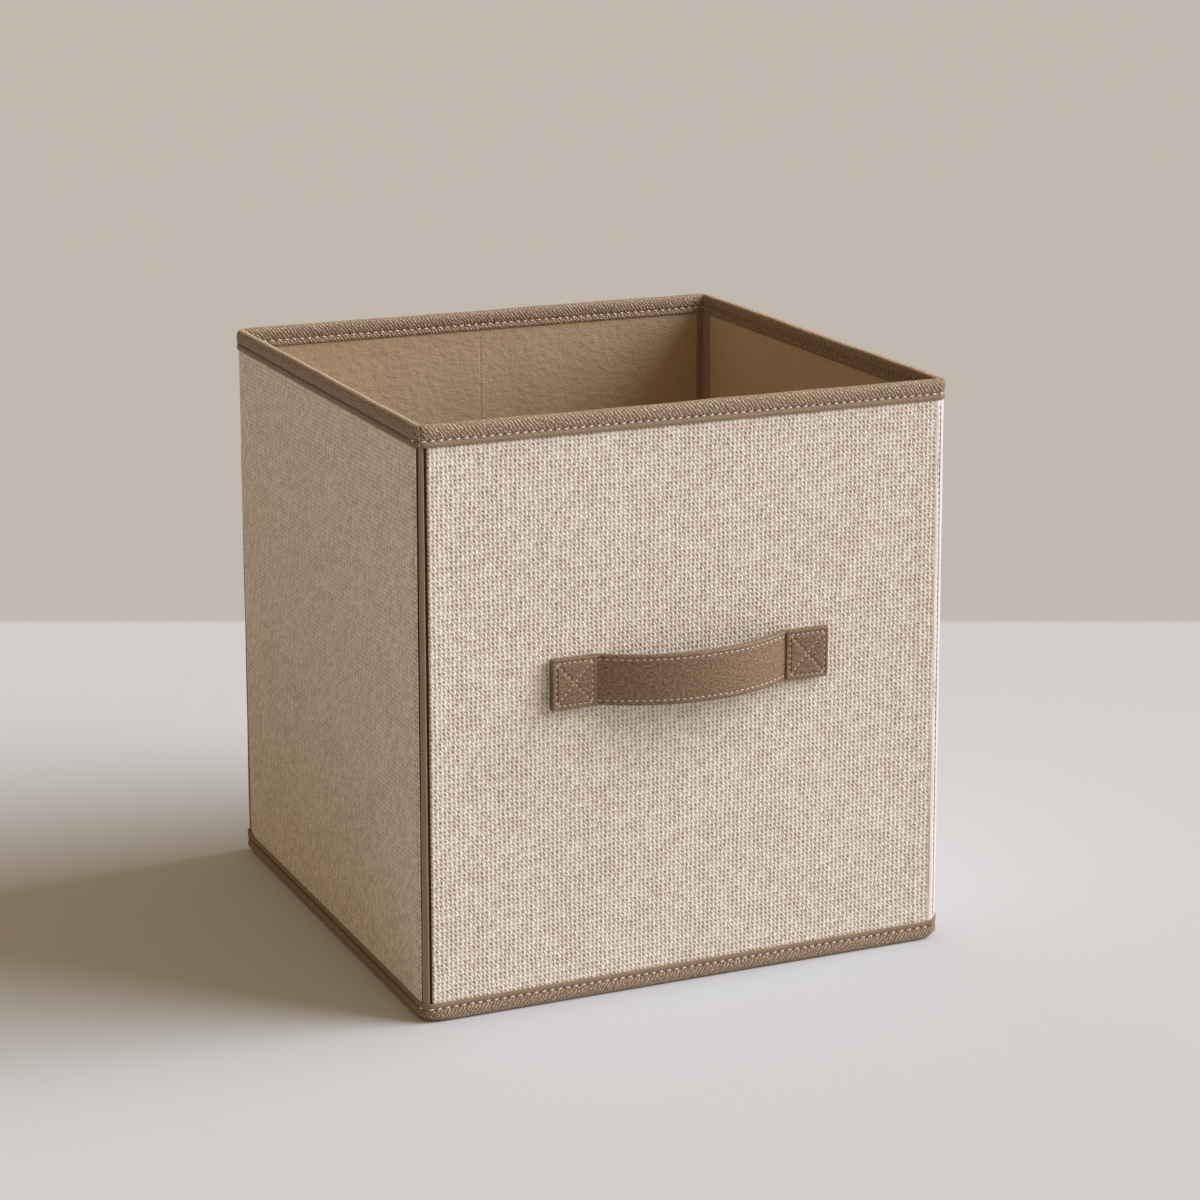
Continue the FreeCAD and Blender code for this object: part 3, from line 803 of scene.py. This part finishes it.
# Tapes over the inner corners
def inner_tape(name, low, high, turned, body, stands_for):
    dense = [(low + 4.0, 2.5, 0.25), (high - 4.0, 2.5, 0.25)]
    places = np.concatenate([samples(low, high, 0.8, *dense), samples(low, high, 0.4)])
    places = np.unique(np.round(places, 4))
    heights = samples(*GROOVES, 4.0)
    edge = np.minimum(places - low, high - places)
    face = -WALL - 0.5 * rounded(edge, 0.5) - 0.02
    back = np.full_like(face, -WALL + 0.05)
    around = np.concatenate([places, places[::-1]])
    out = np.concatenate([face, back[::-1]])
    u, z = around[None, :], heights[:, None]
    points = outline(u + 0 * z, out[None, :] + 0 * z, z + 0 * u)
    made = band(name, points, heights, around, flip=True)
    finished(made, body, TAPE, stands_for)
    sheet(heights[-1] - heights[0], high - low - WALL * turned)


TAPE_BEFORE, TAPE_PAST = 3.0, 7.5
for name, corner, sign, stands_for in (
    ("front_right", FRONT_STRAIGHT, 1, ("front_inner_tape_right", "right_front_inner_tape")),
    ("back_left", BACK + FRONT_STRAIGHT, 1, ("back_inner_tape_left", "left_back_inner_tape")),
    ("front_left", LAP - FRONT_STRAIGHT, -1, ("front_inner_tape_left", "left_front_inner_tape")),
):
    if sign > 0:
        low, high = corner - TAPE_BEFORE, corner + TURN + TAPE_PAST
    else:
        low, high = corner - TURN - TAPE_PAST, corner + TAPE_BEFORE
    inner_tape(f"{name}_inner_tape_cloth", low, high, math.pi / 2, CORNER_BODY[name], stands_for)
corner = BACK - FRONT_STRAIGHT
middle = corner - TURN / 2
inner_tape("back_right_inner_tape_side", corner - TURN - TAPE_PAST, middle, math.pi / 4, "right_back",
           ("right_back_inner_tape",))
inner_tape("back_right_inner_tape_back", middle, corner + TAPE_BEFORE, math.pi / 4, "back",
           ("back_inner_tape_right",))


# Plates with rounded corners: base cloth, loose floor and handle tabs
def plate_grid(half_width, half_height, radius, step, edge):
    """A grid over a rounded rectangle, and each point's distance from its edge."""
    def line(half):
        border = half - edge * (1 - np.cos(np.linspace(0, math.pi / 2, 6)))
        corner = np.linspace(half - edge, half - max(radius, edge * 1.5), 6)
        side = np.concatenate([border, corner])
        inside = np.linspace(-corner[-1], corner[-1], max(3, int(2 * corner[-1] / step)))
        return np.unique(np.round(np.concatenate([-side, inside, side]), 5))
    x, y = np.meshgrid(line(half_width), line(half_height), indexing="ij")
    p = np.clip((np.abs(x) - half_width + radius) / radius, 0, 1)
    q = np.clip((np.abs(y) - half_height + radius) / radius, 0, 1)
    bent = (p > 0) & (q > 0)
    x2 = np.where(bent, np.sign(x) * (half_width - radius + radius * p * np.sqrt(1 - q * q / 2)), x)
    y2 = np.where(bent, np.sign(y) * (half_height - radius + radius * q * np.sqrt(1 - p * p / 2)), y)
    far_x, far_y = np.abs(x2) - half_width + radius, np.abs(y2) - half_height + radius
    beyond = np.hypot(np.maximum(far_x, 0), np.maximum(far_y, 0)) + np.minimum(np.maximum(far_x, far_y), 0)
    return x2, y2, np.maximum(radius - beyond, 0)


def plate(name, x, y, upper, lower, angle=40):
    """A closed plate from two grids of points [rows, columns, 3] that meet along their edge."""
    rows, columns = x.shape
    count = rows * columns
    points = np.concatenate([upper.reshape(-1, 3), lower.reshape(-1, 3)])
    flat = np.stack([x, y], axis=-1).reshape(-1, 2)
    faces, uvs = [], []

    def add(*corners):
        faces.append(corners)
        uvs.extend(flat[c % count] for c in corners)

    for i in range(rows - 1):
        for j in range(columns - 1):
            a = i * columns + j
            b = a + columns
            add(a, b, b + 1, a + 1)
            add(count + a + 1, count + b + 1, count + b, count + a)
    border = list(range(columns)) + [i * columns + columns - 1 for i in range(1, rows)]
    border += [(rows - 1) * columns + j for j in range(columns - 2, -1, -1)]
    border += [i * columns for i in range(rows - 2, 0, -1)]
    for a, b in zip(border, border[1:] + border[:1]):
        add(a, count + a, count + b, b)
    made = mesh_object(name, points, faces, np.array(uvs), angle)
    outwards(made)
    return made


def flat_plate(name, centre, half_width, half_height, radius, low, high, edge, step, upper=None):
    x, y, d = plate_grid(half_width, half_height, radius, step, edge)
    crown = rounded(d, edge)
    top = high - edge * (1 - crown)
    if upper is not None:
        top = top + upper(x, y, d)
    bottom = low + 0 * x
    px, py = x + centre[0], y + centre[1]
    return plate(name, px, py, np.stack([px, py, top], -1), np.stack([px, py, bottom], -1))


def base_waves(x, y, d):
    return 0.10 * np.sin(x / 21 + y / 47) * np.sin(y / 26) * ease(d / 12)


low, high = box_of("base_fabric")
base_cloth = flat_plate("base_cloth_sheet", (0, 0), high.x - 0.1, high.y - 0.1, 0.5,
                        low.z + 0.35, high.z - 0.2, 0.3, 4.0, base_waves)
finished(base_cloth, "front", BASE_LOOK, ["base_fabric"])
sheet(2 * high.x, 2 * high.y)

low, high = box_of("insert_cover")
INSERT_ROUND = 6.0


def insert_waves(x, y, d):
    return (0.12 * np.sin(x / 27 + 0.5) * np.sin(y / 33 - x / 60) - 0.12) * ease(d / 10)


insert = flat_plate("insert_wrap", (0, 0), high.x, high.y, INSERT_ROUND,
                    low.z, high.z, 0.9, 4.0, insert_waves)
finished(insert, "insert", LINING, ["insert_cover"])
sheet(2 * high.x, 2 * high.y)
low, high = box_of("insert_underside")
under = flat_plate("insert_under_cloth", (0, 0), high.x - 0.5, high.y - 0.5, INSERT_ROUND - 0.5,
                   low.z, high.z + 0.02, 0.2, 6.0)
finished(under, "insert", BASE_LOOK, ["insert_underside"])
sheet(2 * high.x - 1, 2 * high.y - 1)
low, high = box_of("insert_pull_tab")
centre, size = (low + high) / 2, high - low
pull = flat_plate("insert_pull_ribbon", centre, size.x / 2, size.y / 2, 2.0, low.z, high.z, 0.4, 1.0,
                  lambda x, y, d: -0.2 + 0.2 * hill(y, 12))
finished(pull, "insert", TAPE, ["insert_pull_tab"])
sheet(size.x, size.y)

# Handle: a strap in two halves, a square tab over each end
strap_low, strap_high = box_of("strap_face")
strap_end = box_of("strap_end_right")[1]
tab_low, tab_high = box_of("handle_tab_right")
STRAP_Z = (strap_low.z + strap_high.z) / 2
STRAP_HALF = (strap_high.z - strap_low.z) / 2
STRAP_THICK = 2.6
STRAP_FLAT = strap_end.y - STRAP_THICK / 2
STRAP_RADIUS = 82.7
STRAP_MIDDLE = strap_low.y + STRAP_THICK / 2
BEND_FROM, BEND_TO = 45.2, 49.2
STRAP_ROW = STRAP_HALF - 2.3
STRAP_PITCH, STRAP_STITCH, STRAP_THREAD = 3.0, 1.9, 0.28
TAB_INSET, TAB_PITCH, TAB_EDGE = 2.0, 2.75, 0.5


def strap_line(x):
    """The strap's middle line seen from above: an arc that bends back to the wall at its end."""
    x = np.abs(x)
    reach = np.minimum(x, BEND_FROM)
    arc = STRAP_MIDDLE + STRAP_RADIUS - np.sqrt(STRAP_RADIUS ** 2 - reach ** 2)
    slope = BEND_FROM / math.sqrt(STRAP_RADIUS ** 2 - BEND_FROM ** 2)
    s = np.clip((x - BEND_FROM) / (BEND_TO - BEND_FROM), 0, 1)
    width = BEND_TO - BEND_FROM
    leaving = (1 - s) ** 2 * ((1 + 2 * s) * arc + s * width * slope)
    return np.where(x <= BEND_FROM, arc, leaving + ease(s) * STRAP_FLAT)


def strap_section():
    h = np.linspace(-1, 1, 41) * STRAP_HALF
    d = STRAP_HALF - np.abs(h)
    half = STRAP_THICK / 2 * (0.55 + 0.45 * rounded(d, 0.9))
    half = half - 0.22 * hill(np.abs(h) - STRAP_ROW, 0.6) + 0.12 * hill(h, 6.0)
    return np.concatenate([np.stack([h, -half], -1), np.stack([h, half], -1)[::-1]])


def strap_points(x, h, out):
    """Points on the strap. out is the distance from its middle, positive towards the wall."""
    y = strap_line(x)
    step = 0.05
    slope = (strap_line(x + step) - strap_line(x - step)) / (2 * step)
    length = np.sqrt(1 + slope ** 2)
    return np.stack(np.broadcast_arrays(x - out * slope / length, y + out / length, STRAP_Z + h), -1)


def strap_body(side):
    """The front wall and the handle, between which one half of the strap runs, and a line along the strap
    next to its tab.
    """
    return "front", "handle", (side * 48.5, STRAP_FLAT, STRAP_Z), (side * 39.0, STRAP_FLAT, STRAP_Z)


for name, side in (("right", 1), ("left", -1)):
    shape = strap_section()
    places = samples(0, strap_end.x, 1.5, (47, 6, 0.5))
    points = strap_points(side * places[:, None], shape[None, :, 0], shape[None, :, 1])
    made = band(f"{name}_strap", points, side * places, lengths(shape))
    nodes = ["strap_face", "strap_backing", f"strap_end_{name}"]
    finished(made, strap_body(side), LEATHER, nodes)


def tab_relief(x, y, d):
    """A soft pillow, pulled down along the box and the cross of stitches."""
    half_x, half_y = (tab_high.x - tab_low.x) / 2 - TAB_INSET, (tab_high.z - tab_low.z) / 2 - TAB_INSET
    ring = np.abs(d - TAB_INSET)
    slant = math.hypot(half_x, half_y)
    cross = np.minimum(np.abs(x * half_y - y * half_x), np.abs(x * half_y + y * half_x)) / slant
    inside = ease((d - TAB_INSET) / 0.6)
    return -0.58 * hill(ring, 0.5) - 0.55 * hill(cross, 0.5) * inside + 0.2 * inside


for name, side in (("right", 1), ("left", -1)):
    low, high = box_of(f"handle_tab_{name}")
    x, z, d = plate_grid((high.x - low.x) / 2, (high.z - low.z) / 2, 1.6, 0.55, TAB_EDGE)
    px, pz = x + (low.x + high.x) / 2, z + (low.z + high.z) / 2
    face = low.y + TAB_EDGE * (1 - rounded(d, TAB_EDGE)) - tab_relief(x, z, d)
    upper = np.stack([px, face, pz], -1)
    lower = np.stack([px, np.full_like(px, high.y + 0.15), pz], -1)
    made = plate(f"{name}_tab", px, pz, upper, lower)
    finished(made, "front", LEATHER, [f"handle_tab_{name}"])


# Stitches: short lengths of thread that dip into the cloth at both ends
def dashes(name, surface, starts, length, radius, body, slant=0.0, look=PALE_THREAD):
    """Each stitch begins at one of starts. surface(along, across, out) gives its points."""
    if len(starts) == 0:
        return
    sides, rings = 8, 7
    x = np.linspace(-1, 1, rings)
    fat = radius * np.sqrt(np.clip(1 - np.abs(x) ** 3.2, 0.04, 1))
    turn = np.arange(sides) * 2 * math.pi / sides
    starts = np.asarray(starts, float)
    along = starts[:, None, None] + (x[None, :, None] + 1) * length / 2
    across = fat[None, :, None] * np.cos(turn)[None, None, :] + slant * x[None, :, None]
    out = fat[None, :, None] * np.sin(turn)[None, None, :] - 0.9 * radius * (x ** 2)[None, :, None]
    points = surface(*np.broadcast_arrays(along, across, out))
    count = rings * sides
    faces, uvs = [], []
    for first in range(0, len(starts) * count, count):
        for i in range(rings - 1):
            low, high = i * length / rings, (i + 1) * length / rings
            ring, following = first + i * sides, first + (i + 1) * sides
            for k in range(sides):
                m = (k + 1) % sides
                left, right = k * 0.2, k * 0.2 + 0.2
                faces.append((ring + k, ring + m, following + m, following + k))
                uvs += [(low, left), (low, right), (high, right), (high, left)]
        for ring, way in ((0, -1), (rings - 1, 1)):
            faces.append(tuple([first + ring * sides + k for k in range(sides)][::way]))
            uvs += [(0.0, 0.0)] * sides
    made = mesh_object(name, points, faces, np.array(uvs), 80)
    outwards(made)
    finished(made, body, look)


def ring_starts(start, end):
    first = math.ceil(start / STITCH_PITCH - 0.5)
    places = (np.arange(first, first + int((end - start) / STITCH_PITCH) + 2) + 0.5) * STITCH_PITCH
    places = places[(places - STITCH_LENGTH / 2 >= start) & (places + STITCH_LENGTH / 2 <= end)]
    return places - STITCH_LENGTH / 2


# The hem's row stops where its corners with ears turn.
ROW_OUT = 0.36
for name, start, end, body, halves in RUNS:
    starts = ring_starts(start, end)
    # On the side walls the rows use the darker copies of the thread, painted shade.
    side = name in ("left", "right")
    outside, inside = (SHADED_THREAD, TAN_AND_SHADED_THREAD) if side else (PALE_THREAD, PALE_THREAD)
    from_turn = np.abs((starts + STITCH_LENGTH / 2) % BACK - FRONT_STRAIGHT - TURN / 2)
    for row, height in (("rim", RIM_STITCH), ("hem", HEM_STITCH)):
        shown = starts[(row == "rim") | (from_turn > TURN / 2 - 1)]
        dashes(f"{name}_{row}_thread", lambda a, c, o: outline(a, ROW_OUT + o, height + c),
               shown, STITCH_LENGTH, THREAD, body, 0.25, outside)
        dashes(f"{name}_{row}_thread_inside", lambda a, c, o: outline(a, -WALL - ROW_OUT - o, height + c),
               starts, STITCH_LENGTH, THREAD, body, look=inside)


# Upright rows along each cover's right margin, and the smooth selvedge round the front right corner, painted
# pale as a highlight where the corner turns to the light, with its outer part a darker copy where the corner
# faces the light most
def margin_row(name, place, pitch, length, radius, lift, slant, drift, look):
    starts = np.arange(HEM_TOP + 2.5, RIM_LOW - 3, pitch)
    dashes(f"{name}_margin_thread", lambda a, c, o: outline(place + c + drift * lean(a), lift + o, a),
           starts, length, radius, name, slant, look)


selvedge_row = FRONT_STRAIGHT + MARGIN - ROUND_SEAM
margin_row("front", selvedge_row, 3.2, 2.2, 0.33, 0.02, 0.0, -0.4, TAN_AND_SHADED_THREAD)
for name, margin in (
    ("back", BACK + FRONT_STRAIGHT + WRAP),
    ("left_front", LEFT + SIDE_MARGIN),
    ("right_back", QUARTER + SIDE_MARGIN),
):
    margin_row(name, margin - FLAT_SEAM, 4.7, 1.9, THREAD, 0.0, 1.0, 0.0, PALE_THREAD)
SELVEDGE_END = FRONT_STRAIGHT + MARGIN - 0.15
for name, start, end, face, edge, skew, look in (
    ("inner", FRONT_STRAIGHT - 0.65, selvedge_row - 0.22, 0.04, 0.06, (-0.2, -0.4), SELVEDGE_HIGHLIGHT),
    ("outer", selvedge_row + 0.22, SELVEDGE_END, 0.10, 0.22, (-0.4, 0), SELVEDGE_EDGE),
):
    upright_band(f"front_selvedge_{name}", start, end, face, WEB_DEPTH, "front", look,
                 edge=edge, skew=skew)

# The butt seam of the rim binding at the front left corner
BUTT_STITCHES = (RIM_LOW + 0.6, RIM_LOW + 3.4, RIM_LOW + 5.9)
dashes("butt_seam_thread", lambda a, c, o: outline(BUTT_SEAMS[1] + c, 0.45 + o, a),
       BUTT_STITCHES, 1.7, 0.26, "front")

# The strap's two rows, on its face and its back, and each tab's box and cross
for name, side in (("right", 1), ("left", -1)):
    starts = np.arange(0.55, 46.4, STRAP_PITCH)
    for where, row in (("upper", STRAP_ROW), ("lower", -STRAP_ROW)):
        for face, way in (("face", -1), ("back", 1)):
            dashes(f"{name}_strap_{where}_{face}_thread",
                   lambda a, c, o: strap_points(side * a, row + c, way * (STRAP_THICK / 2 - 0.18 + o)),
                   starts, STRAP_STITCH, STRAP_THREAD, strap_body(side))
    low, high = box_of(f"handle_tab_{name}")
    middle = np.array([(low.x + high.x) / 2, (low.z + high.z) / 2])
    half = np.array([(high.x - low.x) / 2 - TAB_INSET, (high.z - low.z) / 2 - TAB_INSET])
    corners = [middle + half * way for way in ((-1, -1), (1, -1), (1, 1), (-1, 1))]
    ends = ((0, 1), (1, 2), (2, 3), (3, 0), (0, 2), (1, 3))
    for number, (first, last) in enumerate((corners[i], corners[j]) for i, j in ends):
        length = np.linalg.norm(last - first)
        ahead = (last - first) / length
        aside = np.array([-ahead[1], ahead[0]])
        count = max(1, round(length / TAB_PITCH))
        starts = (np.arange(count) + 0.5) * length / count - STRAP_STITCH / 2

        def tab_surface(a, c, o):
            flat = first + a[..., None] * ahead + c[..., None] * aside
            return np.stack([flat[..., 0], low.y + 0.28 - o, flat[..., 1]], -1)

        dashes(f"{name}_tab_thread_{number}", tab_surface, starts, STRAP_STITCH, STRAP_THREAD, "front")

# Camera, in metres
CAMERA_SPIN, CAMERA_RISE = math.radians(-23.9643), math.radians(13.6707)
CAMERA_PLACE = (-0.61288, -1.40653, 0.57372)
CAMERA_LENS, CAMERA_SHIFT = 95.57, -0.075


def added(name, data):
    made = bpy.data.objects.new(name, data)
    bpy.context.scene.collection.objects.link(made)
    return made


def turned_to(thing, direction):
    """The object's own z axis then points in a direction."""
    thing.rotation_mode = "QUATERNION"
    thing.rotation_quaternion = direction.to_track_quat("Z", "Y")


camera_data = bpy.data.cameras.new("camera")
camera_data.sensor_width = 36
camera_data.lens = CAMERA_LENS
camera_data.shift_y = CAMERA_SHIFT
camera = added("camera", camera_data)
bpy.context.scene.camera = camera
level = math.cos(CAMERA_RISE)
away = Vector((math.sin(CAMERA_SPIN) * level, -math.cos(CAMERA_SPIN) * level, math.sin(CAMERA_RISE)))
turned_to(camera, away)
camera.location = CAMERA_PLACE

# Light: one broad soft key from the right, and a warm even surround
KEY_DIRECTION = Vector((0.788, -0.287, 0.545))
light = bpy.data.lights.new("key", "SUN")
light.angle = math.radians(48)
light.energy = 4.8
light.color = (0.98, 1.0, 1.06)
turned_to(added("key", light), KEY_DIRECTION)

world = bpy.data.worlds.new("studio")
bpy.context.scene.world = world
world.use_nodes = True
background = world.node_tree.nodes["Background"]
background.inputs["Color"].default_value = (1.0, 0.74, 0.44, 1)
background.inputs["Strength"].default_value = 0.48

# Floor: plain and pale, and beyond a straight line behind the object a plain backdrop, a little darker
FLOOR = 12.0
BACKDROP_FROM, BACKDROP_BLUR = 0.50, 0.02
FLOOR_COLOUR, BACKDROP_COLOUR = (0.50, 0.52, 0.55, 1), (0.405, 0.40, 0.385, 1)
floor_mesh = bpy.data.meshes.new("floor")
floor_corners = [(-FLOOR, -FLOOR, 0), (FLOOR, -FLOOR, 0), (FLOOR, FLOOR, 0), (-FLOOR, FLOOR, 0)]
floor_mesh.from_pydata(floor_corners, [], [(0, 1, 2, 3)])
floor = added("floor", floor_mesh)
look = Look("floor", 0.95, specular=0.1)
ahead = (-math.sin(CAMERA_SPIN), math.cos(CAMERA_SPIN), 0)
reach = look.node("VectorMath", {0: look.object, 1: ahead}, operation="DOT_PRODUCT").outputs["Value"]
values = {"Value": reach, "From Min": BACKDROP_FROM, "From Max": BACKDROP_FROM + BACKDROP_BLUR}
beyond = look.node("MapRange", values, interpolation_type="SMOOTHSTEP").outputs["Result"]
values = {"Factor": beyond, "A": FLOOR_COLOUR, "B": BACKDROP_COLOUR}
look.set(look.shader, {"Base Color": look.node("Mix", values, data_type="RGBA").outputs["Result"]})
floor_mesh.materials.append(look.material)

bpy.context.scene.view_settings.view_transform = "Standard"
